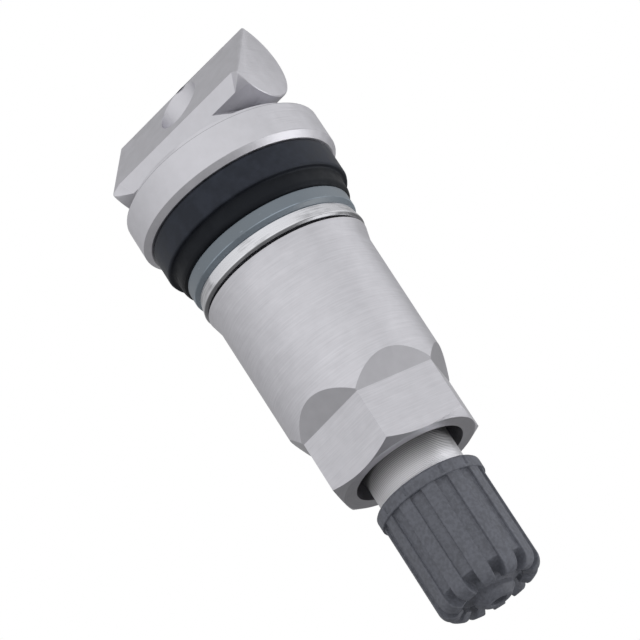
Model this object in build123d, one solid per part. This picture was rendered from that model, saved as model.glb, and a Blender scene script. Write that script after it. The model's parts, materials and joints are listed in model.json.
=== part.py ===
# Clamp-in valve stem for a tyre pressure sensor, with its grommet, washers, collar nut, core and cap.
# Z runs along the stem from the sensor head to the cap, and X runs along the head's cross bar.
# The origin lies on the stem's axis, in the face of the flange that the rubber grommet sits on.

import math
import os

from build123d import *

# General fits, in millimetres
FIT_GAP = 0.05
RUNNING_GAP = 0.08

# Stem flange, step and neck
FLANGE_R = 9.06
FLANGE_THICKNESS = 3.3
FLANGE_CHAMFER = 0.48
STEP_R = 8.35
STEP_THICKNESS = 0.6
NECK_FOOT_R = 7.5
NECK_TOP_R = 4.0
NECK_HALF_ANGLE = 49.5

# Cross bar of the sensor head: a round bar with a slanted seat milled across it
BAR_R = 4.25
BAR_HALF_LENGTH = 7.85
BAR_RISE = 5.5
SEAT_ANGLE = 45.0
SEAT_FROM_BAR_AXIS = 1.1
FRONT_FLAT_Y = 3.0
FRONT_FLAT_TOP_HALF_WIDTH = 7.05
FRONT_FLAT_FOOT_HALF_WIDTH = 6.35
HORN_FACET_ANGLE = 60.5
SENSOR_BORE_R = 2.1
SENSOR_BORE_FLOOR_Z = -1.0
DRILL_POINT_HALF_ANGLE = 59.0

# Shank, thread and passages of the stem
SHANK_R = 4.3
SHANK_LENGTH = 6.4
THREAD_R = 3.87
STEM_TIP_Z = 36.6
TIP_CHAMFER = 0.4
AIR_PASSAGE_R = 1.2
CORE_THREAD_R = 2.6
CORE_THREAD_DEPTH = 5.9
CORE_CONE_LENGTH = 1.5
CORE_CHAMBER_R = 1.95
CORE_CHAMBER_DEPTH = 8.4

# Rubber grommet
GROMMET_R = 8.45
GROMMET_BAND = 2.6
GROMMET_HEIGHT = 4.2
GROMMET_SECOND_R = 7.9
GROMMET_SECOND_CHAMFER = 0.3
SLEEVE_R = 5.6
SLEEVE_LENGTH = 2.3

# Nylon ring and metal washer
RING_R = 7.58
RING_THICKNESS = 1.5
RING_CHAMFER = 0.35
WASHER_TOP_R = 7.28
WASHER_R = 7.54
WASHER_THICKNESS = 1.65
WASHER_EDGE_CHAMFER = 0.4

# Collar nut
NUT_LENGTH = 19.05
NUT_RIM_R = 7.42
NUT_RIM_HEIGHT = 1.2
NUT_SKIRT_R = 7.12
NUT_FOOT_R = 7.04
HEX_FLATS = 12.0
HEX_LENGTH = 5.0
HEX_RELIEF_ANGLE = 28.0
HEX_END_CHAMFER_ANGLE = 30.0
HEX_TURN = 7.7
NUT_RECESS_DEPTH = 2.85
NUT_RECESS_GAP = 0.25
NUT_MOUTH_R = 4.87
NUT_MOUTH_DEPTH = 6.0

# Dust cap
CAP_GAP_TO_NUT = 2.55
CAP_COLLAR_R = 4.7
CAP_COLLAR_HEIGHT = 1.15
CAP_COLLAR_CHAMFER = 0.2
CAP_RIB_R = 4.53
CAP_GROOVE_DEPTH = 0.25
CAP_RIB_COUNT = 12
CAP_RIB_ANGLE = 16.0
CAP_RIB_TURN = 1.5
CAP_RIB_ROOT = 0.1
CAP_SHOULDER_R = 1.1
CAP_HOLLOW_DROP = 1.5
CAP_HOLLOW_R = 3.5
CAP_HOLLOW_STEP = 0.45
CAP_WALL_ABOVE_SEAL = 1.9
CAP_FINGER_LIP = 0.7
CAP_FINGER_DROP = 0.35
CAP_NUB_R = 1.8
CAP_NUB_TIP_R = 1.15
CAP_NUB_HEIGHT = 0.55
CAP_NUB_DROP = 0.45
CAP_NUB_HOLE_R = 0.7
CAP_NUB_HOLE_DEPTH = 0.8
NOTCH_WIDTH = 0.26
NOTCH_DEPTH = 0.14
NOTCH_LENGTH = 0.92
NOTCH_PAIRS = 5
NOTCH_PAIR_SPREAD = 42.0
NOTCH_TURN = 27.0
CAP_SEAL_THICKNESS = 0.6
CAP_SEAL_HOLE_R = 1.5

# Valve core
CORE_PLUG_R = 2.5
CORE_PLUG_BODY = 3.0
CORE_BRIDGE_HEIGHT = 1.7
CORE_BRIDGE_WIDTH = 1.7
CORE_PLUG_FLAT_Y = 1.95
CORE_BELOW_TIP = 0.7
PIN_R = 0.4
PIN_BELOW_TIP = 0.3
PIN_HOLE_GAP = 0.3
BARREL_R = 1.7
BARREL_WALL = 0.5
BARREL_LENGTH = 7.3
BARREL_FLOOR = 0.6
PIN_COLLAR_R = 1.0
PIN_COLLAR_HEIGHT = 0.4
PIN_COLLAR_DROP = 1.0
SPRING_R = 0.8
SPRING_WIRE_R = 0.12
SPRING_WIRE_SIDES = 4
SPRING_TURNS = 4
SPRING_END_GAP = 0.04
CUP_SEAL_R = 1.4
CUP_SEAL_THICKNESS = 0.6
CUP_R = 1.5
CUP_HEIGHT = 0.7
PIN_TAIL = 0.3

# Places along Z that follow from the sizes above
flange_back_z = -FLANGE_THICKNESS
step_back_z = flange_back_z - STEP_THICKNESS
bar_axis_z = step_back_z - BAR_RISE
ring_z = GROMMET_HEIGHT
washer_z = ring_z + RING_THICKNESS
nut_z = washer_z + WASHER_THICKNESS
nut_end_z = nut_z + NUT_LENGTH
hex_z = nut_end_z - HEX_LENGTH
cap_mouth_z = nut_end_z + CAP_GAP_TO_NUT
cap_seal_z = STEM_TIP_Z + FIT_GAP
cap_roof_z = cap_seal_z + CAP_SEAL_THICKNESS
cap_end_z = cap_roof_z + CAP_WALL_ABOVE_SEAL
hollow_z = cap_end_z - CAP_HOLLOW_DROP
core_cone_z = STEM_TIP_Z - CORE_THREAD_DEPTH
core_chamber_z = core_cone_z - CORE_CONE_LENGTH
core_chamber_floor_z = core_chamber_z - CORE_CHAMBER_DEPTH
bridge_top_z = STEM_TIP_Z - CORE_BELOW_TIP
plug_top_z = bridge_top_z - CORE_BRIDGE_HEIGHT
plug_foot_z = plug_top_z - CORE_PLUG_BODY
barrel_foot_z = plug_foot_z - BARREL_LENGTH
barrel_floor_z = barrel_foot_z + BARREL_FLOOR
pin_top_z = STEM_TIP_Z - PIN_BELOW_TIP
pin_collar_top_z = plug_foot_z - PIN_COLLAR_DROP
pin_collar_foot_z = pin_collar_top_z - PIN_COLLAR_HEIGHT
cup_seal_foot_z = barrel_foot_z - CUP_SEAL_THICKNESS
cup_foot_z = cup_seal_foot_z - CUP_HEIGHT
pin_foot_z = cup_foot_z - PIN_TAIL

# Radii that follow from what a piece fits on
grommet_bore_r = SHANK_R + FIT_GAP
sleeve_seat_r = SLEEVE_R + 2 * FIT_GAP
thread_bore_r = THREAD_R + RUNNING_GAP
pin_hole_r = PIN_R + PIN_HOLE_GAP
groove_r = CAP_RIB_R - CAP_GROOVE_DEPTH
barrel_bore_r = BARREL_R - BARREL_WALL


def turned(points):
    """Turn a closed outline of (radius, height) points about the stem's axis."""
    with BuildPart() as part:
        with BuildSketch(Plane.XZ):
            with BuildLine():
                Polyline(*points, close=True)
            make_face()
        revolve(axis=Axis.Z)
    return part.part


def rod(radius, low_z, high_z):
    """A round bar on the stem's axis between two heights."""
    return Pos(0, 0, low_z) * Cylinder(radius, high_z - low_z, align=(Align.CENTER, Align.CENTER, Align.MIN))


def slab(x_size, y_low, y_high, z_low, z_high):
    """A block centred on X between the given limits."""
    block = Box(x_size, y_high - y_low, z_high - z_low, align=(Align.CENTER, Align.MIN, Align.MIN))
    return Pos(0, y_low, z_low) * block


def around(shape, count, first_angle=0.0):
    """Copies of a shape turned about Z at even steps."""
    return [Rot(0, 0, first_angle + i * 360.0 / count) * shape for i in range(count)]


def head_bar():
    """The cross bar with its slanted seat, its front flat and the small horns at its ends."""
    bar = Rot(0, 90, 0) * Cylinder(BAR_R, 2 * BAR_HALF_LENGTH)
    reach = 2 * BAR_R
    seat_cut = slab(3 * BAR_HALF_LENGTH, -reach, reach, SEAT_FROM_BAR_AXIS, SEAT_FROM_BAR_AXIS + reach)
    bar -= Rot(180 - SEAT_ANGLE, 0, 0) * seat_cut
    return Pos(0, 0, bar_axis_z) * bar


def seat_z(y):
    """Height of the slanted seat at a distance across the bar; it rises away from the flange with Y."""
    slope = math.tan(math.radians(SEAT_ANGLE))
    return bar_axis_z - SEAT_FROM_BAR_AXIS / math.cos(math.radians(SEAT_ANGLE)) - slope * y


def front_flat_cutter():
    """The milled space in front of the bar; its ends slant outwards, so that each end of the bar keeps its tip."""
    edge_z = seat_z(-FRONT_FLAT_Y)
    top_z = edge_z - BAR_R
    foot_z = bar_axis_z + math.sqrt(BAR_R ** 2 - FRONT_FLAT_Y ** 2)
    slope = (FRONT_FLAT_TOP_HALF_WIDTH - FRONT_FLAT_FOOT_HALF_WIDTH) / (foot_z - edge_z)
    top_half = FRONT_FLAT_TOP_HALF_WIDTH + slope * (edge_z - top_z)
    spread = BAR_R * math.tan(math.radians(HORN_FACET_ANGLE))
    with BuildPart() as cutter:
        for depth, extra in ((FRONT_FLAT_Y, 0), (FRONT_FLAT_Y + BAR_R, spread)):
            with BuildSketch(Plane.XZ.offset(depth)):
                with BuildLine():
                    Polyline(
                        (-top_half - extra, top_z),
                        (top_half + extra, top_z),
                        (FRONT_FLAT_FOOT_HALF_WIDTH + extra, foot_z),
                        (-FRONT_FLAT_FOOT_HALF_WIDTH - extra, foot_z),
                        close=True,
                    )
                make_face()
        loft(ruled=True)
    return cutter.part


def neck():
    """The cone between the bar and the step disc, flat in front in line with the bar's flat."""
    cone_height = (NECK_FOOT_R - NECK_TOP_R) / math.tan(math.radians(NECK_HALF_ANGLE))
    cone_top_z = step_back_z - cone_height
    cone = turned([
        (0, bar_axis_z),
        (NECK_TOP_R, bar_axis_z),
        (NECK_TOP_R, cone_top_z),
        (NECK_FOOT_R, step_back_z),
        (0, step_back_z),
    ])
    inside_bar = Pos(0, 0, bar_axis_z) * Rot(0, 90, 0) * Cylinder(BAR_R, 2 * BAR_HALF_LENGTH)
    below_bar = cone - slab(4 * FLANGE_R, -FLANGE_R, FLANGE_R, bar_axis_z - BAR_R, bar_axis_z)
    solid = below_bar + (cone & inside_bar)
    front = slab(4 * FLANGE_R, -2 * FLANGE_R, -FRONT_FLAT_Y, bar_axis_z - BAR_R, step_back_z)
    return solid - front


def valve_stem():
    """Stem, flange and sensor head, turned and milled from one bar of aluminium."""
    body = turned([
        (0, step_back_z),
        (STEP_R, step_back_z),
        (STEP_R, flange_back_z),
        (FLANGE_R, flange_back_z),
        (FLANGE_R, -FLANGE_CHAMFER),
        (FLANGE_R - FLANGE_CHAMFER, 0),
        (SHANK_R, 0),
        (SHANK_R, SHANK_LENGTH),
        (THREAD_R, SHANK_LENGTH + SHANK_R - THREAD_R),
        (THREAD_R, STEM_TIP_Z - TIP_CHAMFER),
        (THREAD_R - TIP_CHAMFER, STEM_TIP_Z),
        (0, STEM_TIP_Z),
    ])
    bar = head_bar() - front_flat_cutter()
    seat_side = Pos(0, 0, bar_axis_z) * Rot(180 - SEAT_ANGLE, 0, 0) * slab(
        4 * FLANGE_R, -4 * BAR_R, 4 * BAR_R, SEAT_FROM_BAR_AXIS, SEAT_FROM_BAR_AXIS + 4 * BAR_R)
    body = body + bar + (neck() - seat_side)
    drill_point = (SENSOR_BORE_R - AIR_PASSAGE_R) / math.tan(math.radians(DRILL_POINT_HALF_ANGLE))
    passage = turned([
        (0, bar_axis_z - 2 * BAR_R),
        (SENSOR_BORE_R, bar_axis_z - 2 * BAR_R),
        (SENSOR_BORE_R, SENSOR_BORE_FLOOR_Z),
        (AIR_PASSAGE_R, SENSOR_BORE_FLOOR_Z + drill_point),
        (AIR_PASSAGE_R, core_chamber_floor_z),
        (CORE_CHAMBER_R, core_chamber_floor_z),
        (CORE_CHAMBER_R, core_chamber_z),
        (CORE_THREAD_R, core_cone_z),
        (CORE_THREAD_R, STEM_TIP_Z - TIP_CHAMFER),
        (CORE_THREAD_R + TIP_CHAMFER, STEM_TIP_Z),
        (0, STEM_TIP_Z),
    ])
    return body - passage


def rim_grommet():
    """Rubber seal with two stages outside and a sleeve that passes through the hole in the rim."""
    sleeve_end_z = GROMMET_HEIGHT + SLEEVE_LENGTH
    return turned([
        (grommet_bore_r, 0),
        (GROMMET_R, 0),
        (GROMMET_R, GROMMET_BAND),
        (GROMMET_SECOND_R, GROMMET_BAND),
        (GROMMET_SECOND_R, GROMMET_HEIGHT - GROMMET_SECOND_CHAMFER),
        (GROMMET_SECOND_R - GROMMET_SECOND_CHAMFER, GROMMET_HEIGHT),
        (SLEEVE_R, GROMMET_HEIGHT),
        (SLEEVE_R, sleeve_end_z),
        (grommet_bore_r, sleeve_end_z),
    ])


def nylon_ring():
    """Insulating ring between the rim's outer face and the metal washer."""
    return turned([
        (sleeve_seat_r, ring_z),
        (RING_R, ring_z),
        (RING_R, washer_z - RING_CHAMFER),
        (RING_R - RING_CHAMFER, washer_z),
        (sleeve_seat_r, washer_z),
    ])


def metal_washer():
    """Bright turned washer, a little wider at the nut, with its edge broken."""
    return turned([
        (sleeve_seat_r, washer_z),
        (WASHER_TOP_R, washer_z),
        (WASHER_R, nut_z - WASHER_EDGE_CHAMFER),
        (WASHER_R - WASHER_EDGE_CHAMFER, nut_z),
        (sleeve_seat_r, nut_z),
    ])


def hex_flat_cutter():
    """One side of the hexagon, with the slanted run-out that leaves a half moon on the skirt."""
    flat_y = HEX_FLATS / 2
    reach = NUT_RIM_R + 1.0
    rise = (reach - flat_y) / math.tan(math.radians(HEX_RELIEF_ANGLE))
    with BuildPart() as cutter:
        with BuildSketch(Plane.YZ):
            with BuildLine():
                Polyline(
                    (flat_y, hex_z),
                    (reach, hex_z - rise),
                    (reach, nut_end_z + 1),
                    (flat_y, nut_end_z + 1),
                    close=True,
                )
            make_face()
        extrude(amount=NUT_RIM_R, both=True)
    return cutter.part


def collar_nut():
    """Long collar nut: a smooth skirt, six flats and a wide mouth round the thread."""
    drop = (NUT_FOOT_R - HEX_FLATS / 2) * math.tan(math.radians(HEX_END_CHAMFER_ANGLE))
    nut = turned([
        (thread_bore_r, nut_z + NUT_RECESS_DEPTH),
        (SLEEVE_R + NUT_RECESS_GAP, nut_z + NUT_RECESS_DEPTH),
        (SLEEVE_R + NUT_RECESS_GAP, nut_z),
        (NUT_RIM_R, nut_z),
        (NUT_SKIRT_R, nut_z + NUT_RIM_HEIGHT),
        (NUT_FOOT_R, hex_z),
        (NUT_FOOT_R, nut_end_z - drop),
        (HEX_FLATS / 2, nut_end_z),
        (NUT_MOUTH_R, nut_end_z),
        (NUT_MOUTH_R, nut_end_z - NUT_MOUTH_DEPTH),
        (thread_bore_r, nut_end_z - NUT_MOUTH_DEPTH),
    ])
    for cutter in around(hex_flat_cutter(), 6, HEX_TURN):
        nut -= cutter
    return nut


def cap_rib():
    """One finger of the cap: a rib up its side, bent over the shoulder to a rounded end."""
    root_r = groove_r - CAP_RIB_ROOT
    low_z = cap_mouth_z + CAP_COLLAR_HEIGHT - CAP_RIB_ROOT
    shoulder_z = cap_end_z - CAP_SHOULDER_R
    finger_end_r = CAP_RIB_R - CAP_SHOULDER_R
    lip_r = finger_end_r - CAP_FINGER_LIP
    lip_z = cap_end_z - CAP_FINGER_DROP
    with BuildPart() as rib:
        with BuildSketch(Plane.XZ):
            with BuildLine():
                Line((root_r, low_z), (CAP_RIB_R, low_z))
                Line((CAP_RIB_R, low_z), (CAP_RIB_R, shoulder_z))
                RadiusArc((CAP_RIB_R, shoulder_z), (finger_end_r, cap_end_z), -CAP_SHOULDER_R)
                Line((finger_end_r, cap_end_z), (lip_r, lip_z))
                Line((lip_r, lip_z), (lip_r, hollow_z))
                Line((lip_r, hollow_z), (root_r, hollow_z))
                Line((root_r, hollow_z), (root_r, low_z))
            make_face()
        revolve(axis=Axis.Z, revolution_arc=CAP_RIB_ANGLE)
    return Rot(0, 0, -CAP_RIB_ANGLE / 2) * rib.part


def cap_shell():
    """Ribbed plastic dust cap with a notched collar and a small pierced nub."""
    nub_top_z = cap_end_z + CAP_NUB_HEIGHT
    shell = turned([
        (thread_bore_r, cap_mouth_z),
        (CAP_COLLAR_R - CAP_COLLAR_CHAMFER, cap_mouth_z),
        (CAP_COLLAR_R, cap_mouth_z + CAP_COLLAR_CHAMFER),
        (CAP_COLLAR_R, cap_mouth_z + CAP_COLLAR_HEIGHT),
        (groove_r, cap_mouth_z + CAP_COLLAR_HEIGHT),
        (groove_r, hollow_z),
        (CAP_HOLLOW_R, hollow_z + CAP_HOLLOW_STEP),
        (CAP_NUB_R, cap_end_z - CAP_NUB_DROP),
        (CAP_NUB_R, cap_end_z),
        (CAP_NUB_TIP_R, nub_top_z),
        (CAP_NUB_HOLE_R, nub_top_z),
        (CAP_NUB_HOLE_R, nub_top_z - CAP_NUB_HOLE_DEPTH),
        (0, nub_top_z - CAP_NUB_HOLE_DEPTH),
        (0, cap_roof_z),
        (thread_bore_r, cap_roof_z),
    ])
    for rib in around(cap_rib(), CAP_RIB_COUNT, CAP_RIB_TURN):
        shell += rib
    notch = Pos(CAP_COLLAR_R, 0, cap_mouth_z) * Box(2 * NOTCH_DEPTH, NOTCH_WIDTH, 2 * NOTCH_LENGTH)
    for side in (-1, 1):
        for cutter in around(notch, NOTCH_PAIRS, NOTCH_TURN + side * NOTCH_PAIR_SPREAD / 2):
            shell -= cutter
    return shell


def cap_seal():
    """Rubber ring inside the cap that closes on the stem's tip."""
    return rod(thread_bore_r - FIT_GAP, cap_seal_z, cap_roof_z) - rod(CAP_SEAL_HOLE_R, cap_seal_z, cap_roof_z)


def core_plug():
    """Threaded head of the valve core, with a bridge for the core key and flats that let air past."""
    reach = CORE_THREAD_R + 1
    plug = rod(CORE_PLUG_R, plug_foot_z, bridge_top_z) - rod(pin_hole_r, plug_foot_z, bridge_top_z)
    for turn in (0, 180):
        flat = slab(2 * reach, CORE_PLUG_FLAT_Y, reach, plug_foot_z, plug_top_z)
        beside_bridge = slab(2 * reach, CORE_BRIDGE_WIDTH / 2, reach, plug_top_z, bridge_top_z)
        plug -= Rot(0, 0, turn) * flat
        plug -= Rot(0, 0, turn) * beside_bridge
    return plug


def core_barrel():
    """Tube of the valve core, with a floor that carries the spring."""
    return turned([
        (pin_hole_r, barrel_foot_z),
        (BARREL_R, barrel_foot_z),
        (BARREL_R, plug_foot_z),
        (barrel_bore_r, plug_foot_z),
        (barrel_bore_r, barrel_floor_z),
        (pin_hole_r, barrel_floor_z),
    ])


def barrel_gasket():
    """Tapered ring on the barrel that seals in the cone of the stem."""
    inner_r = BARREL_R + FIT_GAP
    return turned([
        (inner_r, core_chamber_z),
        (CORE_CHAMBER_R - FIT_GAP, core_chamber_z),
        (CORE_THREAD_R - FIT_GAP, core_cone_z),
        (inner_r, core_cone_z),
    ])


def core_pin():
    """Pin that opens the valve, with the swaged collar that its spring lifts."""
    pin = rod(PIN_R, pin_foot_z, pin_top_z)
    return pin + rod(PIN_COLLAR_R, pin_collar_foot_z, pin_collar_top_z)


def core_spring():
    """Coil spring round the pin, between the barrel's floor and the pin's collar."""
    low_z = barrel_floor_z + SPRING_WIRE_R + SPRING_END_GAP
    high_z = pin_collar_foot_z - SPRING_WIRE_R - SPRING_END_GAP
    pitch = (high_z - low_z) / SPRING_TURNS
    with BuildPart() as spring:
        with BuildLine():
            path = Helix(pitch, high_z - low_z, SPRING_R, center=(0, 0, low_z))
        with BuildSketch(Plane(origin=path @ 0, z_dir=path % 0)):
            RegularPolygon(SPRING_WIRE_R, SPRING_WIRE_SIDES)
        sweep(is_frenet=True)
    return spring.part


def cup_seal():
    """Rubber face of the cup, which closes the foot of the barrel."""
    return rod(CUP_SEAL_R, cup_seal_foot_z, barrel_foot_z) - rod(PIN_R + FIT_GAP, cup_seal_foot_z, barrel_foot_z)


def pin_cup():
    """Metal cup that holds the seal on the pin."""
    return rod(CUP_R, cup_foot_z, cup_seal_foot_z) - rod(PIN_R + FIT_GAP, cup_foot_z, cup_seal_foot_z)


PIECES = {
    "valve_stem": valve_stem,
    "rim_grommet": rim_grommet,
    "nylon_ring": nylon_ring,
    "metal_washer": metal_washer,
    "collar_nut": collar_nut,
    "cap_shell": cap_shell,
    "cap_seal": cap_seal,
    "core_plug": core_plug,
    "core_barrel": core_barrel,
    "barrel_gasket": barrel_gasket,
    "core_pin": core_pin,
    "core_spring": core_spring,
    "cup_seal": cup_seal,
    "pin_cup": pin_cup,
}


def main():
    """Build every piece and write one STEP file for each."""
    os.makedirs("parts", exist_ok=True)
    for name, make in PIECES.items():
        export_step(make(), f"parts/{name}.step")


if __name__ == "__main__":
    main()
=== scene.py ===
# Finishes, turned pieces, stage and camera for a clamp-in valve stem of a tyre pressure sensor.
# Lengths are in metres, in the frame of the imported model: Z along the stem, origin in the flange face.

import json
import math

import bmesh
import bpy
from mathutils import Matrix, Vector

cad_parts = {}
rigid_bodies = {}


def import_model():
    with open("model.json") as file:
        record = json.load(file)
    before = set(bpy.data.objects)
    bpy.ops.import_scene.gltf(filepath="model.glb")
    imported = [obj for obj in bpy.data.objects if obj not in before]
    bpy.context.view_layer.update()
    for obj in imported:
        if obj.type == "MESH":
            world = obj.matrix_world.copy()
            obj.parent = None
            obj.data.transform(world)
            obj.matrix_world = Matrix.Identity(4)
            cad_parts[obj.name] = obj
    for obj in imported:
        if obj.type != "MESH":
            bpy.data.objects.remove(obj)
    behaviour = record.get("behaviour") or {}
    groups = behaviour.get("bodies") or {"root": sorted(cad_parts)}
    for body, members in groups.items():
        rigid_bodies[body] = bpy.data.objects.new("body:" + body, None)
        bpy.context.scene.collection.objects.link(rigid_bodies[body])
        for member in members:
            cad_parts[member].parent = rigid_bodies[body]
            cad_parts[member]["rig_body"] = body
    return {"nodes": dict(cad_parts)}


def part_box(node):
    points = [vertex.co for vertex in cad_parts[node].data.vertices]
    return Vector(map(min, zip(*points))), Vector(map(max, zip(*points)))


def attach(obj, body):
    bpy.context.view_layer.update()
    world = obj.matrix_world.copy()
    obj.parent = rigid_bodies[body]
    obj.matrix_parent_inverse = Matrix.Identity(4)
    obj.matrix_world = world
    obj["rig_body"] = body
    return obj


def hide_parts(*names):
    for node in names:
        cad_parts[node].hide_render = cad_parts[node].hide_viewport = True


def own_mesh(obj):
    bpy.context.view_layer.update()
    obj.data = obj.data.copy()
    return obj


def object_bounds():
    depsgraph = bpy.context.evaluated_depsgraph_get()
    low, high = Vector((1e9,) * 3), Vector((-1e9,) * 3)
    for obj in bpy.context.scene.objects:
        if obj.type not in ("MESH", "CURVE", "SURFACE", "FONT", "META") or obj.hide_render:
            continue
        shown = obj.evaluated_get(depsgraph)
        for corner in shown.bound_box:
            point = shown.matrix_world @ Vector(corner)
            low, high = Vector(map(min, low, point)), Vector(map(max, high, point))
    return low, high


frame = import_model()
cad_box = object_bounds()

bl_info = {
    "name": "Clamp-in valve stem",
    "version": (1, 0, 0),
    "blender": (4, 5, 0),
    "location": "3D view > Sidebar > Valve stem",
    "description": "Dresses a clamp-in valve stem with its grommet, rings, collar nut and dust cap",
    "category": "Object",
}

MM = 0.001
WHITE = (1.0, 1.0, 1.0, 1.0)
TURN_STEPS = 144
SHARP_ANGLE = math.radians(20)
FLAT_ANGLE = math.radians(0.5)
CUT_NEAR = 0.0002 * MM
COPY_MERGE = 0.0005 * MM
NUT_MERGE = 0.001 * MM
ORDER_STEP = 0.001 * MM
ORDER_BASE = 100000.0


def low(node):
    """Lowest Z of a CAD node."""
    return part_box(node)[0].z


def high(node):
    """Highest Z of a CAD node."""
    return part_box(node)[1].z


class ValveStemSizes(bpy.types.PropertyGroup):
    """Sizes that the frame leaves open"""

    metal_edge: bpy.props.FloatProperty(
        name="Metal edge", description="Width of the broken edge on machined metal",
        default=0.09 * MM, min=0.0, precision=5, unit="LENGTH")
    bar_edge: bpy.props.FloatProperty(
        name="Bar edge", description="Rounding of the edges at the bar's two ends",
        default=0.18 * MM, min=0.0, precision=5, unit="LENGTH")
    rubber_edge: bpy.props.FloatProperty(
        name="Rubber edge", description="Rounding of the moulded rubber edges",
        default=0.22 * MM, min=0.0, precision=5, unit="LENGTH")
    plastic_edge: bpy.props.FloatProperty(
        name="Plastic edge", description="Rounding of the moulded cap",
        default=0.07 * MM, min=0.0, precision=5, unit="LENGTH")
    line_spacing: bpy.props.FloatProperty(
        name="Tool line spacing", description="Distance between the fine turned lines",
        default=0.11 * MM, min=0.01 * MM, precision=5, unit="LENGTH")
    thread_pitch: bpy.props.FloatProperty(
        name="Fine thread pitch", description="Distance between the ridges under the cap",
        default=0.14 * MM, min=0.05 * MM, precision=5, unit="LENGTH")
    thread_depth: bpy.props.FloatProperty(
        name="Fine thread depth", description="Depth of the grooves under the cap",
        default=0.025 * MM, min=0.0, precision=5, unit="LENGTH")
    flats_width: bpy.props.FloatProperty(
        name="Width across flats", description="Key size of the collar nut",
        default=12.0 * MM, min=9.0 * MM, precision=5, unit="LENGTH")


class ValveStemFinishes(bpy.types.PropertyGroup):
    """Colours of the finishes"""

    aluminium: bpy.props.FloatVectorProperty(
        name="Aluminium", description="Colour of the bare aluminium",
        default=(0.72, 0.715, 0.757), min=0.0, max=1.0, size=3, subtype="COLOR")
    # Brighter than the blasted aluminium: polished metal, lifted further as painted light.
    thread: bpy.props.FloatVectorProperty(
        name="Thread", description="Colour of the fine thread under the cap",
        default=(0.94, 0.94, 0.97), min=0.0, max=1.0, size=3, subtype="COLOR")
    rubber: bpy.props.FloatVectorProperty(
        name="Rubber", description="Colour of the grommet",
        default=(0.024, 0.027, 0.037), min=0.0, max=1.0, size=3, subtype="COLOR")
    nylon: bpy.props.FloatVectorProperty(
        name="Nylon", description="Colour of the insulating ring",
        default=(0.165, 0.202, 0.240), min=0.0, max=1.0, size=3, subtype="COLOR")
    washer: bpy.props.FloatVectorProperty(
        name="Bright washer", description="Colour of the bright metal washer",
        default=(0.86, 0.865, 0.905), min=0.0, max=1.0, size=3, subtype="COLOR")
    cap: bpy.props.FloatVectorProperty(
        name="Dust cap", description="Colour of the moulded dust cap",
        default=(0.152, 0.160, 0.190), min=0.0, max=1.0, size=3, subtype="COLOR")


END_FACE_LEAST = 0.85
SLOPE_LEAST = 0.3
PATCHES_PER_METRE = 260.0
CLOUDS_PER_METRE = 1000.0
# Painted shadow line round the flange's back edge: how far in from the rim and how wide.
RIM_SHADOW_LINE_DEPTH = 0.06 * MM
RIM_SHADOW_LINE_HALF_WIDTH = 0.045 * MM
# Half width of the painted highlight line round the nylon ring.
RING_HIGHLIGHT_HALF_WIDTH = 0.035 * MM
# Painted shade under the bar: its heights below the flange's back and its reach from the axis.
UNDER_BAR_SHADE_START = 4.8 * MM
UNDER_BAR_SHADE_END = 1.2 * MM
UNDER_BAR_SHADE_HALF_WIDTH = 4.6 * MM
BAR_END_FROM_AXIS = 7.8 * MM


def node_group(name, inputs, outputs):
    """An empty shader node group with number inputs and outputs."""
    group = bpy.data.node_groups.new(name, "ShaderNodeTree")
    for label, value in inputs.items():
        socket = group.interface.new_socket(label, in_out="INPUT", socket_type="NodeSocketFloat")
        socket.default_value = value
    for label in outputs:
        group.interface.new_socket(label, in_out="OUTPUT", socket_type="NodeSocketFloat")
    return group, group.nodes.new("NodeGroupInput"), group.nodes.new("NodeGroupOutput")


def feed(tree, socket, value):
    """Set a plain number on a socket, or link another node's output to it."""
    if isinstance(value, (int, float)):
        socket.default_value = value
    else:
        tree.links.new(value, socket)


def math_node(tree, operation, *values):
    """A Math node fed by sockets or plain numbers."""
    node = tree.nodes.new("ShaderNodeMath")
    node.operation = operation
    for socket, value in zip(node.inputs, values):
        feed(tree, socket, value)
    return node.outputs["Value"]


def spread(tree, value, lowest, highest, start=0.3, end=0.7):
    """A mask stretched from its start and end to the given range."""
    node = tree.nodes.new("ShaderNodeMapRange")
    node.inputs["From Min"].default_value = start
    node.inputs["From Max"].default_value = end
    node.inputs["To Min"].default_value = lowest
    node.inputs["To Max"].default_value = highest
    tree.links.new(value, node.inputs["Value"])
    return node.outputs["Result"]


def noise(tree, place, scale, detail):
    """Noise read at the given place."""
    node = tree.nodes.new("ShaderNodeTexNoise")
    node.inputs["Detail"].default_value = detail
    feed(tree, node.inputs["Scale"], scale)
    tree.links.new(place, node.inputs["Vector"])
    return node.outputs["Fac"]


def separated(tree, vector):
    """The X, Y and Z of a vector."""
    node = tree.nodes.new("ShaderNodeSeparateXYZ")
    tree.links.new(vector, node.inputs["Vector"])
    return node.outputs


def axis_distance(tree, place):
    """Distance of a point from the stem's axis."""
    x_squared = math_node(tree, "MULTIPLY", place["X"], place["X"])
    y_squared = math_node(tree, "MULTIPLY", place["Y"], place["Y"])
    return math_node(tree, "SQRT", math_node(tree, "ADD", x_squared, y_squared))


def object_place(tree):
    """Object coordinates."""
    return tree.nodes.new("ShaderNodeTexCoord").outputs["Object"]


def facing(tree, axis="Z"):
    """How far the surface faces along an axis: one on end faces, zero on the sides, minus one behind."""
    return separated(tree, tree.nodes.new("ShaderNodeTexCoord").outputs["Normal"])[axis]


def end_face_mask(tree, axis="Z", least=END_FACE_LEAST):
    """One where the surface faces along the given axis either way, zero on the sides."""
    either_way = math_node(tree, "ABSOLUTE", facing(tree, axis))
    return math_node(tree, "GREATER_THAN", either_way, least)


def slope_mask(tree):
    """One on milled slopes, zero on the sides and on the end faces."""
    return math_node(tree, "SUBTRACT", end_face_mask(tree, "Z", SLOPE_LEAST), end_face_mask(tree))


def band_mask(tree, value, middle, half_width):
    """One where a number lies close to the middle value."""
    apart = math_node(tree, "ABSOLUTE", math_node(tree, "SUBTRACT", value, middle))
    return math_node(tree, "LESS_THAN", apart, half_width)


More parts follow.
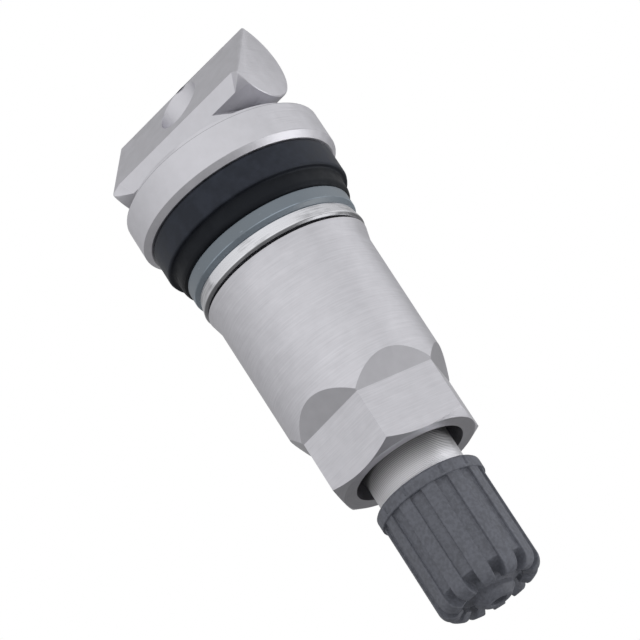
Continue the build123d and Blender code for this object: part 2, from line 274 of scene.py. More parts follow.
def mixed_number(tree, factor, a, b):
    """Number a where the factor is zero and b where it is one."""
    node = tree.nodes.new("ShaderNodeMix")
    node.data_type = "FLOAT"
    tree.links.new(factor, node.inputs["Factor"])
    feed(tree, node.inputs["A"], a)
    feed(tree, node.inputs["B"], b)
    return node.outputs["Result"]


def tool_lines_group():
    """Fine strokes round the stem's axis, as a lathe or a milling tool leaves them."""
    group, inlet, outlet = node_group(
        "tool lines", {"Lines per metre": 4500.0, "Strokes per metre": 350.0}, ("Lines", "Patches"))
    place = object_place(group)
    split = separated(group, place)
    travel = mixed_number(group, end_face_mask(group), split["Z"], axis_distance(group, split))
    stretched = group.nodes.new("ShaderNodeCombineXYZ")
    for axis, value, density in (
            ("X", split["X"], "Strokes per metre"),
            ("Y", split["Y"], "Strokes per metre"),
            ("Z", travel, "Lines per metre")):
        scaled = math_node(group, "MULTIPLY", value, inlet.outputs[density])
        group.links.new(scaled, stretched.inputs[axis])
    strokes = noise(group, stretched.outputs["Vector"], 1.0, 3.0)
    plain = 0.5
    group.links.new(mixed_number(group, slope_mask(group), strokes, plain), outlet.inputs["Lines"])
    group.links.new(noise(group, place, PATCHES_PER_METRE, 3.0), outlet.inputs["Patches"])
    return group


def grain_group():
    """Even fine grain with a slow cloudy variation, as blasting and moulding leave it."""
    group, inlet, outlet = node_group("grain", {"Grains per metre": 9000.0}, ("Grain", "Clouds"))
    place = object_place(group)
    group.links.new(noise(group, place, inlet.outputs["Grains per metre"], 2.0), outlet.inputs["Grain"])
    group.links.new(noise(group, place, CLOUDS_PER_METRE, 4.0), outlet.inputs["Clouds"])
    return group


class Finish:
    """One material on a Principled shader, with helpers to feed its sockets."""

    def __init__(self, name, colour, metallic, roughness):
        self.material = bpy.data.materials.new(name)
        self.material.use_nodes = True
        self.tree = self.material.node_tree
        self.shader = self.tree.nodes["Principled BSDF"]
        self.colour = (*colour, 1.0)
        self.shader.inputs["Base Color"].default_value = self.colour
        self.shader.inputs["Metallic"].default_value = metallic
        self.shader.inputs["Roughness"].default_value = roughness

    def group(self, tree, **values):
        """Place a shared effect with this finish's own values and give its outputs."""
        node = self.tree.nodes.new("ShaderNodeGroup")
        node.node_tree = tree
        for label, value in values.items():
            node.inputs[label.replace("_", " ")].default_value = value
        return node.outputs

    def place(self):
        """Object coordinates as separate numbers."""
        return separated(self.tree, object_place(self.tree))

    def math(self, operation, *values):
        """The result of a Math node."""
        return math_node(self.tree, operation, *values)

    def spread(self, value, *limits):
        """A mask stretched to the given range."""
        return spread(self.tree, value, *limits)

    def tint(self, socket, darkest, clamped=True):
        """Darken the base colour by a mask, down to a share of it."""
        node = self.tree.nodes.new("ShaderNodeMix")
        node.data_type = "RGBA"
        node.clamp_factor = clamped
        node.inputs["A"].default_value = tuple(c * darkest for c in self.colour[:3]) + (1.0,)
        node.inputs["B"].default_value = self.colour
        self.tree.links.new(socket, node.inputs["Factor"])
        self.tree.links.new(node.outputs["Result"], self.shader.inputs["Base Color"])

    def rough(self, value, lowest, highest):
        """Let the roughness follow a mask."""
        self.tree.links.new(self.spread(value, lowest, highest), self.shader.inputs["Roughness"])

    def bump(self, socket, depth, strength=1.0):
        """Relief of the given depth in metres."""
        node = self.tree.nodes.new("ShaderNodeBump")
        node.inputs["Strength"].default_value = strength
        node.inputs["Distance"].default_value = depth
        self.tree.links.new(socket, node.inputs["Height"])
        self.tree.links.new(node.outputs["Normal"], self.shader.inputs["Normal"])


groups = {}


def shared_groups():
    """Build the two shared effects once."""
    if not groups:
        groups["lines"] = tool_lines_group()
        groups["grain"] = grain_group()
    return groups["lines"], groups["grain"]


def blasted_aluminium(colour, flange_r, flange_back):
    """Bead-blasted aluminium with a painted shadow line at the flange's back and painted shade under the
    bar.
    """
    lines, grain = shared_groups()
    finish = Finish("blasted aluminium", colour, 1.0, 0.46)
    blasted = finish.group(grain, Grains_per_metre=7000.0)
    strokes = finish.group(lines, Lines_per_metre=7000.0)["Lines"]
    place = finish.place()
    # Painted shadow line: a thin dark ring at the flange's back edge, where the corner falls into shade.
    at_rim = finish.math("GREATER_THAN", axis_distance(finish.tree, place), flange_r - RIM_SHADOW_LINE_DEPTH)
    at_back = band_mask(finish.tree, place["Z"], flange_back, RIM_SHADOW_LINE_HALF_WIDTH)
    painted_rim_shadow_line = finish.math("MULTIPLY", at_back, at_rim)
    # Painted shade under the bar: up-facing surfaces behind the flange's back, near the flange and the
    # neck, are darkened.
    under_bar_shade_start, under_bar_shade_end = flange_back - UNDER_BAR_SHADE_START, flange_back - UNDER_BAR_SHADE_END
    at_flange = finish.spread(place["Z"], 0.0, 8.0, under_bar_shade_start, under_bar_shade_end)
    turned_to_it = finish.spread(facing(finish.tree), 0.0, 1.0, 0.1, 0.5)
    behind = finish.math("LESS_THAN", place["Z"], flange_back)
    from_axis = finish.math("ABSOLUTE", place["X"])
    at_neck = finish.spread(from_axis, 1.15, 0.1, UNDER_BAR_SHADE_HALF_WIDTH, BAR_END_FROM_AXIS)
    painted_under_bar_shade = at_flange
    for mask in (turned_to_it, behind, at_neck):
        painted_under_bar_shade = finish.math("MULTIPLY", painted_under_bar_shade, mask)
    cloudy = finish.spread(blasted["Clouds"], 0.0, 1.0)
    # Cloudy tone with the painted shadow line taken out of it.
    shade = finish.math("SUBTRACT", cloudy, finish.math("MULTIPLY", painted_rim_shadow_line, 5.0))
    finish.tint(finish.math("SUBTRACT", shade, painted_under_bar_shade), 0.92, clamped=False)
    finish.rough(blasted["Clouds"], 0.42, 0.50)
    milled = finish.math("MULTIPLY", strokes, end_face_mask(finish.tree, "X"))
    relief = finish.math("ADD", blasted["Grain"], finish.math("MULTIPLY", milled, 5.0))
    finish.bump(relief, 0.010 * MM, 0.6)
    return finish.material


def turned_aluminium(colour, spacing, flats_height):
    """Satin aluminium with fine short tool lines, and painted shade on the half moons below the flats.
    """
    lines, grain = shared_groups()
    finish = Finish("turned aluminium", colour, 1.0, 0.42)
    turned = finish.group(lines, Lines_per_metre=1.0 / spacing, Strokes_per_metre=380.0)
    clouds = finish.group(grain, Grains_per_metre=6000.0)["Clouds"]
    mottled = finish.math(
        "ADD", finish.spread(turned["Lines"], 0.0, 0.6), finish.spread(clouds, 0.0, 0.4))
    # Painted shade on the half moons: the milled slopes below the flats are darkened.
    below = finish.math("LESS_THAN", finish.place()["Z"], flats_height)
    painted_half_moon_shade = finish.math("MULTIPLY", slope_mask(finish.tree), below)
    finish.tint(finish.math("SUBTRACT", mottled, painted_half_moon_shade), 0.85, clamped=False)
    finish.rough(turned["Patches"], 0.38, 0.46)
    finish.bump(turned["Lines"], 0.010 * MM, 0.8)
    return finish.material


def threaded_aluminium(colour, groove_r, ridge_r, nut_end, cap_foot):
    """Bright fine thread with painted shade in its grooves and towards the nut, and painted light
    towards the cap.
    """
    grain = shared_groups()[1]
    finish = Finish("threaded aluminium", colour, 1.0, 0.34)
    clouds = finish.group(grain, Grains_per_metre=6000.0)["Clouds"]
    place = finish.place()
    # Painted shade in the grooves: zero in a groove, one on a ridge.
    painted_groove_shade_mask = finish.spread(axis_distance(finish.tree, place), 0.0, 1.0, groove_r, ridge_r)
    # Painted shade towards the nut and painted light towards the cap, by height.
    painted_light_from = 0.3 * nut_end + 0.7 * cap_foot
    lift = finish.spread(place["Z"], -0.25, 0.8, nut_end, painted_light_from)
    finish.tint(finish.math("ADD", lift, finish.math("MULTIPLY", painted_groove_shade_mask, 0.45)), 0.22)
    finish.rough(clouds, 0.30, 0.38)
    return finish.material


def bright_metal(colour, chamfer_height):
    """Bright turned steel with streaks and patches, and painted shade on its chamfer."""
    lines = shared_groups()[0]
    finish = Finish("bright metal", colour, 1.0, 0.22)
    turned = finish.group(lines, Lines_per_metre=5500.0, Strokes_per_metre=450.0)
    streaky = finish.math(
        "ADD", finish.spread(turned["Lines"], 0.0, 0.5, 0.35, 0.65),
        finish.spread(turned["Patches"], 0.3, 1.0, 0.42, 0.58))
    # Painted shade on the chamfer: above the chamfer's height the streaky tone is cut to about a fifth.
    chamfer_start, chamfer_end = chamfer_height - 0.02 * MM, chamfer_height + 0.02 * MM
    below = finish.spread(finish.place()["Z"], 1.0, 0.22, chamfer_start, chamfer_end)
    finish.tint(finish.math("MULTIPLY", streaky, below), 0.25)
    finish.rough(turned["Patches"], 0.34, 0.18)
    finish.bump(turned["Lines"], 0.014 * MM, 0.7)
    return finish.material


def black_rubber(colour, band_top):
    """Moulded rubber, a little greyer on its wide band than above it."""
    grain = shared_groups()[1]
    finish = Finish("black rubber", colour, 0.0, 0.5)
    finish.shader.inputs["Specular IOR Level"].default_value = 0.25
    finish.shader.inputs["Specular Tint"].default_value = (0.80, 0.88, 1.0, 1.0)
    moulded = finish.group(grain, Grains_per_metre=12000.0)
    # Greyer on the wide band and darker above it, by height.
    band_fade_start, band_fade_end = band_top - 0.1 * MM, band_top + 0.1 * MM
    greyer_band = finish.spread(finish.place()["Z"], 1.0, 0.0, band_fade_start, band_fade_end)
    smeared = finish.spread(moulded["Clouds"], 0.8, 1.3, 0.4, 0.65)
    finish.tint(finish.math("MULTIPLY", greyer_band, smeared), 0.2, clamped=False)
    finish.rough(moulded["Clouds"], 0.42, 0.58)
    finish.bump(moulded["Grain"], 0.008 * MM, 0.4)
    return finish.material


def grey_nylon(colour, highlight_height):
    """Satin nylon with a broken painted highlight line round it and small painted highlight specks."""
    lines = shared_groups()[0]
    finish = Finish("grey nylon", colour, 0.0, 0.35)
    finish.shader.inputs["Specular IOR Level"].default_value = 0.85
    turned = finish.group(lines, Lines_per_metre=9000.0, Strokes_per_metre=1600.0)
    # Painted highlights: a broken pale line just under the ring's top, plus small specks from the tool
    # lines, lighten the base colour.
    line = band_mask(finish.tree, finish.place()["Z"], highlight_height, RING_HIGHLIGHT_HALF_WIDTH)
    broken = finish.math("MULTIPLY", line, finish.spread(turned["Patches"], 0.0, 2.0, 0.42, 0.6))
    painted_glints = finish.spread(turned["Lines"], 0.0, 2.0, 0.70, 0.76)
    pale = finish.math("MULTIPLY", finish.math("ADD", broken, painted_glints), 4.0)
    mottled = finish.spread(turned["Patches"], 0.0, 1.0)
    finish.tint(finish.math("ADD", mottled, pale), 0.86, clamped=False)
    finish.rough(turned["Patches"], 0.25, 0.45)
    finish.bump(turned["Lines"], 0.008 * MM, 0.4)
    return finish.material


def moulded_plastic(name, colour, roughness):
    """Matt moulded plastic with a fine grain."""
    grain = shared_groups()[1]
    finish = Finish(name, colour, 0.0, roughness)
    moulded = finish.group(grain, Grains_per_metre=3500.0)
    mottled = finish.math(
        "ADD", finish.spread(moulded["Grain"], 0.0, 0.6, 0.38, 0.62),
        finish.spread(moulded["Clouds"], 0.0, 0.4))
    finish.tint(mottled, 0.66)
    finish.rough(moulded["Clouds"], roughness - 0.05, roughness + 0.05)
    finish.bump(moulded["Grain"], 0.02 * MM, 0.7)
    return finish.material


def plated_metal(name, colour, roughness):
    """Small turned parts with a plated or drawn finish."""
    lines = shared_groups()[0]
    finish = Finish(name, colour, 1.0, roughness)
    turned = finish.group(lines, Lines_per_metre=8000.0)
    finish.tint(finish.spread(turned["Lines"], 0.0, 1.0), 0.85)
    finish.rough(turned["Patches"], roughness - 0.06, roughness + 0.06)
    finish.bump(turned["Lines"], 0.006 * MM, 0.4)
    return finish.material


def place_number(point):
    """One number for a point's place to the nearest micrometre, by height and then across."""
    x, y, z = (round(value / ORDER_STEP) for value in point)
    return (z * ORDER_BASE + x) * ORDER_BASE + y


def put_in_order(shape):
    """Sort a shape's elements by place, because a spin numbers them differently on each run."""
    shape.verts.sort(key=lambda vert: place_number(vert.co))
    shape.edges.sort(key=lambda edge: place_number(edge.verts[0].co + edge.verts[1].co))
    shape.faces.sort(key=lambda face: place_number(face.calc_center_median()))


def cut(shape, place, normal, **options):
    """Cut a whole shape along a plane."""
    bmesh.ops.bisect_plane(
        shape, geom=shape.verts[:] + shape.edges[:] + shape.faces[:], dist=CUT_NEAR,
        plane_co=place, plane_no=normal, **options)


def merge(shape, distance):
    """Merge points that lie together and join faces that lie in one plane."""
    bmesh.ops.remove_doubles(shape, verts=shape.verts[:], dist=distance)
    bmesh.ops.dissolve_limit(
        shape, angle_limit=FLAT_ANGLE, verts=shape.verts[:], edges=shape.edges[:])


def spun(shape):
    """Spin the wire outline of a shape once round Z."""
    bmesh.ops.spin(
        shape, geom=shape.verts[:] + shape.edges[:], cent=(0, 0, 0), axis=(0, 0, 1),
        dvec=(0, 0, 0), angle=2 * math.pi, steps=TURN_STEPS, use_merge=True, use_duplicate=False)
    put_in_order(shape)
    return shape


def spun_profile(profile):
    """Spin a closed outline of (radius, height) points about Z."""
    shape = bmesh.new()
    corners = [shape.verts.new((r, 0.0, z)) for r, z in profile]
    for start, end in zip(corners, corners[1:] + corners[:1]):
        shape.edges.new((start, end))
    return spun(shape)


def copied(node):
    """A merged copy of a CAD node, with flat regions joined into single faces."""
    shape = bmesh.new()
    shape.from_mesh(frame["nodes"][node].data)
    merge(shape, COPY_MERGE)
    return shape


def respun(node):
    """Cut the outline out of a turned CAD node and spin it again in finer steps."""
    shape = copied(node)
    cut(shape, (0, 0, 0), (0, 1, 0), clear_inner=True, clear_outer=True)
    far_side = [vert for vert in shape.verts if vert.co.x < 0.0]
    bmesh.ops.delete(shape, geom=far_side, context="VERTS")
    return spun(shape)


def new_object(shape, name, material):
    """Make a mesh object of a bmesh, in one material."""
    mesh = bpy.data.meshes.new(name)
    shape.to_mesh(mesh)
    shape.free()
    mesh.materials.append(material)
    made = bpy.data.objects.new(name, mesh)
    bpy.context.scene.collection.objects.link(made)
    return made


def add_piece(shape, name, material, node, edge=0.0, replaced=True):
    """Add a piece that rides with a CAD node's body and stands in place of that node."""
    bmesh.ops.recalc_face_normals(shape, faces=shape.faces[:])
    piece = new_object(shape, name, material)
    piece.data.shade_smooth()
    piece.data.set_sharp_from_angle(angle=SHARP_ANGLE)
    if edge:
        bevel = piece.modifiers.new("broken edges", "BEVEL")
        bevel.width = edge
        bevel.segments = 2
        bevel.limit_method = "ANGLE"
        bevel.angle_limit = SHARP_ANGLE
        bevel.harden_normals = True
    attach(piece, frame["nodes"][node]["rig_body"])
    if replaced:
        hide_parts(node)
    return piece


THREAD_TOP_GAP = 0.4 * MM
THREAD_NEAR = 0.02 * MM
RIDGE_CLEARANCE = 0.03 * MM
SLEEVE_WALL = 0.05 * MM
BAR_END_NEAR = 0.01 * MM
NUT_RIM_HEIGHT = 1.2 * MM
NUT_SKIRT_R = 7.12 * MM
NUT_FOOT_R = 7.04 * MM
NUT_BORE_R = 3.95 * MM
NUT_RECESS_R = 5.85 * MM
NUT_RECESS_DEPTH = 2.85 * MM
NUT_MOUTH_R = 4.87 * MM
NUT_MOUTH_DEPTH = 6.0 * MM
HEX_LENGTH = 5.0 * MM
HEX_RELIEF = math.radians(28.0)
HEX_END_CHAMFER = math.radians(30.0)
HEX_TURN = math.radians(7.7)
MOONS_BELOW_END = 2.0 * MM
CAP_THREAD_R = 3.87 * MM
SHANK_TOP = 6.4 * MM
FLANGE_R = 9.06 * MM
FLANGE_THICKNESS = 3.3 * MM
RING_HIGHLIGHT_BELOW_TOP = 0.38 * MM
GROMMET_BAND = 2.6 * MM
STEP_BACK = 3.9 * MM
SPRING_R = 0.8 * MM
SPRING_WIRE_R = 0.12 * MM
WIRE_SIDES = 8
STEPS_PER_COIL = 24
SPRING_COILS = 6
WASHER_BORE_R = 5.70 * MM
WASHER_FOOT_R = 7.28 * MM
WASHER_EDGE = 0.5 * MM
WASHER_GAP = 0.26 * MM
WASHER_GAP_R = 6.3 * MM
NICKEL_BRASS = (0.75, 0.70, 0.55)
SPRING_STEEL = (0.6, 0.6, 0.6)
SEAL_RED = (0.6, 0.1, 0.08)


def thread_sleeve(sizes):
    """Fine ridges round the stem, from inside the nut to the stem's tip."""
    top = high("valve_stem") - THREAD_TOP_GAP
    ridges = int((top - low("collar_nut")) / sizes.thread_pitch)
    foot = top - ridges * sizes.thread_pitch
    groove_r = CAP_THREAD_R - sizes.thread_depth
    inner_r = groove_r - SLEEVE_WALL
    profile = [(inner_r, top), (groove_r, top)]
    for ridge in range(ridges):
        profile.append((CAP_THREAD_R, top - (ridge + 0.5) * sizes.thread_pitch))
        profile.append((groove_r, top - (ridge + 1) * sizes.thread_pitch))
    profile.append((inner_r, foot))
    return spun_profile(profile)


def narrowed_stem(sizes):
    """The stem's body with its threaded length a little thinner, to carry the ridges."""
    shape = copied("valve_stem")
    threaded = [
        vert for vert in shape.verts
        if vert.co.z > SHANK_TOP and abs(vert.co.xy.length - CAP_THREAD_R) < THREAD_NEAR]
    share = 1.0 - (sizes.thread_depth + RIDGE_CLEARANCE) / CAP_THREAD_R
    bmesh.ops.scale(shape, vec=(share, share, 1.0), verts=threaded)
    bar_top = low("rim_grommet") - STEP_BACK
    bar_reach = max(vert.co.x for vert in shape.verts if vert.co.z < bar_top)
    at_ends = {
        vert for vert in shape.verts
        if abs(vert.co.x) > bar_reach - BAR_END_NEAR and vert.co.z < bar_top}
    end_edges = [edge for edge in shape.edges if at_ends.issuperset(edge.verts)]
    bmesh.ops.bevel(
        shape, geom=end_edges, offset=sizes.bar_edge, offset_type="OFFSET", segments=3,
        profile=0.5, affect="EDGES", material=-1)
    return shape


def cut_hexagon(shape, half_width, top):
    """Flatten six sides, each with a slanted run-out that leaves a half moon."""
    slope = math.tan(HEX_RELIEF)
    for side in range(6):
        turn = Matrix.Rotation(HEX_TURN + side * math.pi / 3, 4, "Z")
        outward = turn @ Vector((0.0, 1.0, 0.0))
        slanted = (outward + Vector((0.0, 0.0, slope))).normalized()
        corner = outward * half_width + Vector((0.0, 0.0, top))
        cut(shape, corner, outward)
        cut(shape, corner, slanted)
        for vert in shape.verts:
            limit = half_width + max(0.0, top - vert.co.z) * slope
            excess = vert.co.dot(outward) - limit
            if excess > 0.0:
                vert.co -= outward * excess


def nut_shape(sizes):
    """Long collar nut: skirt, six flats, slanted end and a wide mouth."""
    foot, end = low("collar_nut"), high("collar_nut")
    rim_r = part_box("collar_nut")[1].x
    half_width = sizes.flats_width / 2
    drop = (NUT_FOOT_R - half_width) * math.tan(HEX_END_CHAMFER)
    shape = spun_profile([
        (NUT_BORE_R, foot + NUT_RECESS_DEPTH),
        (NUT_RECESS_R, foot + NUT_RECESS_DEPTH),
        (NUT_RECESS_R, foot),
        (rim_r, foot),
        (NUT_SKIRT_R, foot + NUT_RIM_HEIGHT),
        (NUT_FOOT_R, end - HEX_LENGTH),
        (NUT_FOOT_R, end - drop),
        (half_width, end),
        (NUT_MOUTH_R, end),
        (NUT_MOUTH_R, end - NUT_MOUTH_DEPTH),
        (NUT_BORE_R, end - NUT_MOUTH_DEPTH),
    ])
    cut_hexagon(shape, half_width, end - HEX_LENGTH)
    put_in_order(shape)
    merge(shape, NUT_MERGE)
    return shape


def washer_shape():
    """Turned washer, wider towards the nut, with its edge broken and a narrow gap left at the nut."""
    foot, top = low("metal_washer"), high("metal_washer")
    edge_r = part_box("metal_washer")[1].x
    return spun_profile([
        (WASHER_BORE_R, foot),
        (WASHER_FOOT_R, foot),
        (edge_r, top - WASHER_EDGE),
        (edge_r - WASHER_EDGE + WASHER_GAP, top - WASHER_GAP),
        (WASHER_GAP_R, top - WASHER_GAP),
        (WASHER_GAP_R, top),
        (WASHER_BORE_R, top),
    ])


def coil_spring(turns):
    """Round wire wound between the barrel's floor and the pin's collar, with its ends closed."""
    foot, top = low("core_spring"), high("core_spring")
    steps = turns * STEPS_PER_COIL
    rise = top - foot - 2 * SPRING_WIRE_R
    shape = bmesh.new()
    bmesh.ops.create_circle(shape, segments=WIRE_SIDES, radius=SPRING_WIRE_R)
    upright = Matrix.Rotation(math.pi / 2, 3, "X")
    bmesh.ops.rotate(shape, verts=shape.verts[:], cent=(0, 0, 0), matrix=upright)
    bmesh.ops.translate(shape, verts=shape.verts[:], vec=(SPRING_R, 0, foot + SPRING_WIRE_R))
    bmesh.ops.spin(
        shape, geom=shape.verts[:] + shape.edges[:], cent=(0, 0, 0), axis=(0, 0, 1),
        dvec=(0, 0, rise / steps), angle=2 * math.pi * turns, steps=steps, use_duplicate=False)
    open_ends = [edge for edge in shape.edges if edge.is_boundary]
    bmesh.ops.holes_fill(shape, edges=open_ends, sides=0)
    put_in_order(shape)
    return shape


class VALVESTEM_OT_metal_body(bpy.types.Operator):
    """Dress the machined stem, its flange and its slanted head, and cut its fine thread"""

    bl_idname = "valve_stem.metal_body"
    bl_label = "Metal body"

    def execute(self, context):
        sizes = context.scene.valve_stem_sizes
        finishes = context.scene.valve_stem_finishes
        flange_back = low("rim_grommet") - FLANGE_THICKNESS
        metal = blasted_aluminium(finishes.aluminium, FLANGE_R, flange_back)
        add_piece(narrowed_stem(sizes), "machined_stem", metal, "valve_stem",
                  edge=sizes.metal_edge)
        thread = threaded_aluminium(
            finishes.thread, CAP_THREAD_R - sizes.thread_depth, CAP_THREAD_R,
            high("collar_nut"), low("cap_shell"))
        add_piece(thread_sleeve(sizes), "fine_thread", thread, "valve_stem",
                  replaced=False)
        return {"FINISHED"}


class VALVESTEM_OT_grommet(bpy.types.Operator):
    """Turn the two-stage rubber grommet"""

    bl_idname = "valve_stem.grommet"
    bl_label = "Rubber grommet"

    def execute(self, context):
        sizes = context.scene.valve_stem_sizes
        material = black_rubber(context.scene.valve_stem_finishes.rubber, GROMMET_BAND)
        add_piece(respun("rim_grommet"), "rubber_grommet", material, "rim_grommet",
                  edge=sizes.rubber_edge)
        return {"FINISHED"}


class VALVESTEM_OT_rings(bpy.types.Operator):
    """Turn the nylon ring and the bright washer above the grommet"""

    bl_idname = "valve_stem.rings"
    bl_label = "Nylon ring and washer"

    def execute(self, context):
        sizes = context.scene.valve_stem_sizes
        finishes = context.scene.valve_stem_finishes
        nylon = grey_nylon(finishes.nylon, high("nylon_ring") - RING_HIGHLIGHT_BELOW_TOP)
        add_piece(respun("nylon_ring"), "insulating_ring", nylon, "nylon_ring",
                  edge=sizes.metal_edge)
        steel = bright_metal(finishes.washer, high("metal_washer") - WASHER_EDGE)
        add_piece(washer_shape(), "bright_washer", steel, "metal_washer",
                  edge=sizes.metal_edge)
        return {"FINISHED"}


class VALVESTEM_OT_collar_nut(bpy.types.Operator):
    """Turn the long collar nut and mill its flats"""

    bl_idname = "valve_stem.collar_nut"
    bl_label = "Collar nut"

    def execute(self, context):
        sizes = context.scene.valve_stem_sizes
        colour = context.scene.valve_stem_finishes.aluminium
        material = turned_aluminium(
            colour, sizes.line_spacing, high("collar_nut") - MOONS_BELOW_END)
        add_piece(nut_shape(sizes), "long_nut", material, "collar_nut",
                  edge=sizes.metal_edge)
        return {"FINISHED"}


class VALVESTEM_OT_dust_cap(bpy.types.Operator):
    """Dress the ribbed dust cap"""

    bl_idname = "valve_stem.dust_cap"
    bl_label = "Dust cap"

    def execute(self, context):
        sizes = context.scene.valve_stem_sizes
        material = moulded_plastic("cap plastic", context.scene.valve_stem_finishes.cap, 0.6)
        cap = add_piece(copied("cap_shell"), "ribbed_cap", material, "cap_shell",
                        edge=sizes.plastic_edge)
        bevel = cap.modifiers["broken edges"]
        bevel.use_clamp_overlap = False
        bevel.harden_normals = False
        return {"FINISHED"}


class VALVESTEM_OT_valve_core(bpy.types.Operator):
    """Give the hidden core, its spring and the seals their finishes"""

    bl_idname = "valve_stem.valve_core"
    bl_label = "Valve core and seals"

    def execute(self, context):
        rubber = bpy.data.materials["black rubber"]
        brass = plated_metal("nickel brass", NICKEL_BRASS, 0.3)
        steel = plated_metal("spring steel", SPRING_STEEL, 0.3)
        seal = moulded_plastic("seal plastic", SEAL_RED, 0.4)
        finishes = {
            "cap_seal": rubber, "cup_seal": rubber, "core_plug": brass, "core_barrel": brass,
            "core_pin": brass, "pin_cup": brass, "barrel_gasket": seal,
        }
        for node, material in finishes.items():
            mesh = frame["nodes"][node].data
            mesh.materials.clear()
            mesh.materials.append(material)
        spring = add_piece(
            coil_spring(SPRING_COILS), "return_spring", steel, "core_spring")
        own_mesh(spring)
        return {"FINISHED"}


CAMERA_TURN = math.radians(25.7)
CAMERA_TILT = math.radians(21.577)
CAMERA_ROLL = math.radians(57.05)
CAMERA_OFFSET = Vector((-5.86, -8.71, 246.73)) * MM
FLANGE_ABOVE_MEASURE = 0.8 * MM
FOCAL_PIXELS = 3017.6
PHOTO_PIXELS = 640
SENSOR_MM = 36.0


def camera_frame():
    """Camera matrix from its turn round the stem, its tilt and its roll."""
    turn, tilt, roll = CAMERA_TURN, CAMERA_TILT, CAMERA_ROLL
    side = Vector((-math.cos(turn), math.sin(turn), 0.0))
    toward = Vector((-math.sin(turn), -math.cos(turn), 0.0))
    axis = Vector((0.0, 0.0, 1.0))
    lift = axis * math.cos(tilt) - toward * math.sin(tilt)
    right = side * math.sin(roll) + lift * math.cos(roll)
    down = side * -math.cos(roll) + lift * math.sin(roll)
    forward = toward * -math.cos(tilt) - axis * math.sin(tilt)
    place = -(right * CAMERA_OFFSET.x + down * CAMERA_OFFSET.y + forward * CAMERA_OFFSET.z)
    place.z += FLANGE_ABOVE_MEASURE
    matrix = Matrix((right, -down, -forward)).transposed().to_4x4()
    matrix.translation = place
    return matrix


MEAN_LIGHT = 0.57
LIGHT_SIDE = (-0.12, -0.25, -0.36)
SHADE_UNDER_FOOT = 0.40
SHADE_START = -0.45
SHADE_END = -1.0
BACKDROP_SIZE = 3.0
LAMPS_AIM = Vector((0.0, 0.0, 12.0 * MM))


def white_to_camera(tree, output, behind):
    """Show plain white to the camera and the given shader to every other ray."""
    on_surface = output.type == "OUTPUT_MATERIAL"
    white = tree.nodes.new("ShaderNodeEmission" if on_surface else "ShaderNodeBackground")
    path = tree.nodes.new("ShaderNodeLightPath")
    mix = tree.nodes.new("ShaderNodeMixShader")
    tree.links.new(path.outputs["Is Camera Ray"], mix.inputs["Fac"])
    tree.links.new(behind, mix.inputs[1])
    tree.links.new(white.outputs[0], mix.inputs[2])
    tree.links.new(mix.outputs["Shader"], output.inputs["Surface"])
    white.inputs["Color"].default_value = WHITE
    white.inputs["Strength"].default_value = 1.0


def studio_world():
    """Soft light from all round, strongest in front and low, weakest above and behind."""
    world = bpy.data.worlds.new("studio")
    world.use_nodes = True
    tree = world.node_tree
    background = tree.nodes["Background"]
    direction = tree.nodes.new("ShaderNodeTexCoord").outputs["Generated"]
    aim = tree.nodes.new("ShaderNodeVectorMath")
    aim.operation = "DOT_PRODUCT"
    aim.inputs[1].default_value = LIGHT_SIDE
    tree.links.new(direction, aim.inputs[0])
    level = math_node(tree, "ADD", aim.outputs["Value"], MEAN_LIGHT)
    upward = separated(tree, direction)["Z"]
    shade = spread(tree, upward, 0.0, SHADE_UNDER_FOOT, SHADE_START, SHADE_END)
    tree.links.new(math_node(tree, "SUBTRACT", level, shade), background.inputs["Strength"])
    background.inputs["Color"].default_value = WHITE
    white_to_camera(tree, tree.nodes["World Output"], background.outputs["Background"])
    return world


def backdrop_material():
    """Pale floor that is seen but lets the soft light through."""
    material = bpy.data.materials.new("pale floor")
    material.use_nodes = True
    tree = material.node_tree
    tree.nodes.remove(tree.nodes["Principled BSDF"])
    clear = tree.nodes.new("ShaderNodeBsdfTransparent")
    white_to_camera(tree, tree.nodes["Material Output"], clear.outputs["BSDF"])
    return material


def area_light(name, place, size, power):
    """A square soft light aimed at the middle of the stem, unseen by the camera itself."""
    lamp = bpy.data.lights.new(name, "AREA")
    lamp.shape = "SQUARE"
    lamp.size = size
    lamp.energy = power
    light = bpy.data.objects.new(name, lamp)
    light.location = place
    toward = LAMPS_AIM - light.location
    light.rotation_euler = toward.to_track_quat("-Z", "Y").to_euler()
    light.visible_camera = False
    bpy.context.scene.collection.objects.link(light)


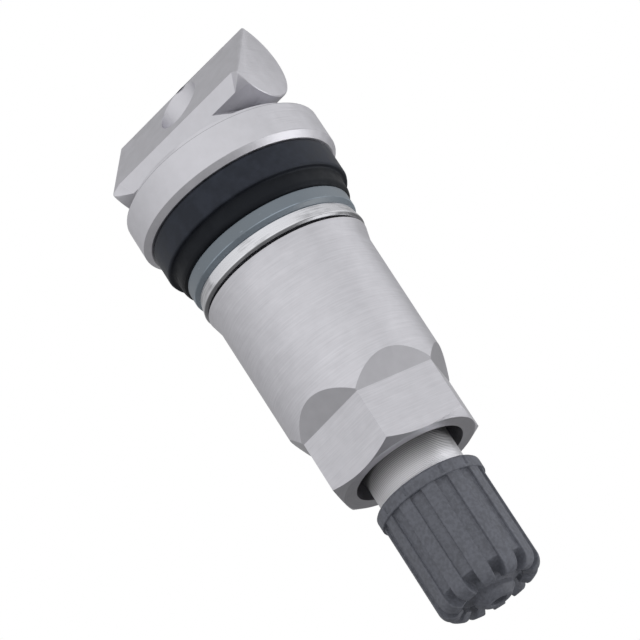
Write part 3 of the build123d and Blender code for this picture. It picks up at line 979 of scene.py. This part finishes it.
class VALVESTEM_OT_stage(bpy.types.Operator):
    """Lay the floor, set the light and place the camera"""

    bl_idname = "valve_stem.stage"
    bl_label = "Stage"

    def execute(self, context):
        scene = context.scene
        shape = bmesh.new()
        bmesh.ops.create_grid(shape, x_segments=1, y_segments=1, size=BACKDROP_SIZE)
        bmesh.ops.translate(shape, vec=(0, 0, Vector(cad_box[0]).z), verts=shape.verts[:])
        floor = new_object(shape, "floor", backdrop_material())
        camera = bpy.data.objects.new("camera", bpy.data.cameras.new("camera"))
        camera.data.sensor_width = SENSOR_MM
        camera.data.lens = FOCAL_PIXELS * SENSOR_MM / PHOTO_PIXELS
        camera.data.clip_start = 0.01
        camera.data.clip_end = 20.0
        camera.matrix_world = camera_frame()
        scene.collection.objects.link(camera)
        scene.camera = camera
        scene.world = studio_world()
        area_light("front light", (0.02, -0.30, -0.03), 0.16, 0.006)
        area_light("side light", (-0.21, 0.15, 0.0), 0.24, 0.060)
        area_light("back light", (-0.08, 0.25, 0.20), 0.14, 0.075)
        area_light("top light", (-0.20, 0.11, 0.21), 0.17, 0.180)
        scene.view_settings.view_transform = "Standard"
        return {"FINISHED"}


class VALVESTEM_PT_panel(bpy.types.Panel):
    """Lists the steps that dress the valve stem"""

    bl_idname = "VALVESTEM_PT_panel"
    bl_label = "Valve stem"
    bl_space_type = "VIEW_3D"
    bl_region_type = "UI"
    bl_category = "Valve stem"

    def draw(self, context):
        for name in ValveStemSizes.__annotations__:
            self.layout.prop(context.scene.valve_stem_sizes, name)
        for name in ValveStemFinishes.__annotations__:
            self.layout.prop(context.scene.valve_stem_finishes, name)
        for step in STEPS:
            self.layout.operator(step.bl_idname)


STEPS = (
    VALVESTEM_OT_metal_body,
    VALVESTEM_OT_grommet,
    VALVESTEM_OT_rings,
    VALVESTEM_OT_collar_nut,
    VALVESTEM_OT_dust_cap,
    VALVESTEM_OT_valve_core,
    VALVESTEM_OT_stage,
)
CLASSES = (ValveStemSizes, ValveStemFinishes, *STEPS, VALVESTEM_PT_panel)


def register():
    for cls in CLASSES:
        bpy.utils.register_class(cls)
    bpy.types.Scene.valve_stem_sizes = bpy.props.PointerProperty(type=ValveStemSizes)
    bpy.types.Scene.valve_stem_finishes = bpy.props.PointerProperty(type=ValveStemFinishes)


def unregister():
    del bpy.types.Scene.valve_stem_finishes
    del bpy.types.Scene.valve_stem_sizes
    for cls in reversed(CLASSES):
        bpy.utils.unregister_class(cls)


def main():
    """Dress the whole part."""
    register()
    bpy.ops.valve_stem.metal_body()
    bpy.ops.valve_stem.grommet()
    bpy.ops.valve_stem.rings()
    bpy.ops.valve_stem.collar_nut()
    bpy.ops.valve_stem.dust_cap()
    bpy.ops.valve_stem.valve_core()
    bpy.ops.valve_stem.stage()


if __name__ == "__main__":
    main()
